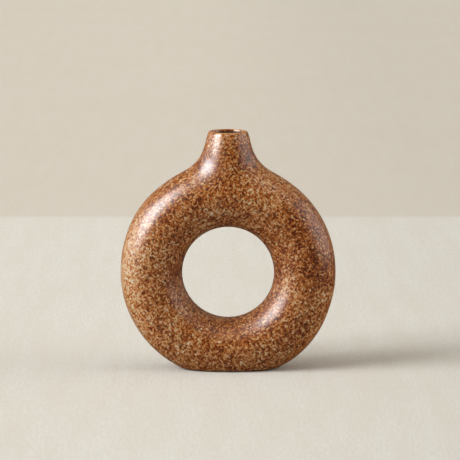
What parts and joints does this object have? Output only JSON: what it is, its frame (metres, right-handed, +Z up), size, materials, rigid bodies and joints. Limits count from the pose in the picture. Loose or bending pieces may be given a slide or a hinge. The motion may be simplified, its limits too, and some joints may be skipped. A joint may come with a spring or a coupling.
{
  "type": "donut vase",
  "caption": "Upright ring-shaped stoneware vase with an open centre, a short flared neck with a round mouth, a flat oval foot and a mottled brown glaze.",
  "frame": {"origin": "on the table, under the middle of the foot", "axes": "+Z up along the mouth's axis, +X across the ring's width, +Y back through the ring's hole"},
  "size_m": [0.18, 0.0514, 0.2],
  "materials": {
    "outer_glaze": "satin gloss reactive glaze, mottled in tan, rust and dark brown flecks",
    "liner_glaze": "glossy dark brown lining glaze",
    "stoneware": "unglazed speckled buff stoneware",
    "slip": "fired slip of the same clay"
  },
  "bodies": {
    "root": {"front_shell": "stoneware", "back_shell": "stoneware", "neck": "stoneware", "foot": "stoneware", "left_seam_slip": "slip", "hole_seam_slip": "slip", "right_seam_slip": "slip", "foot_slip": "slip", "neck_slip": "slip", "outer_glaze": "outer_glaze", "liner_glaze": "liner_glaze"}
  },
  "joints": []
}
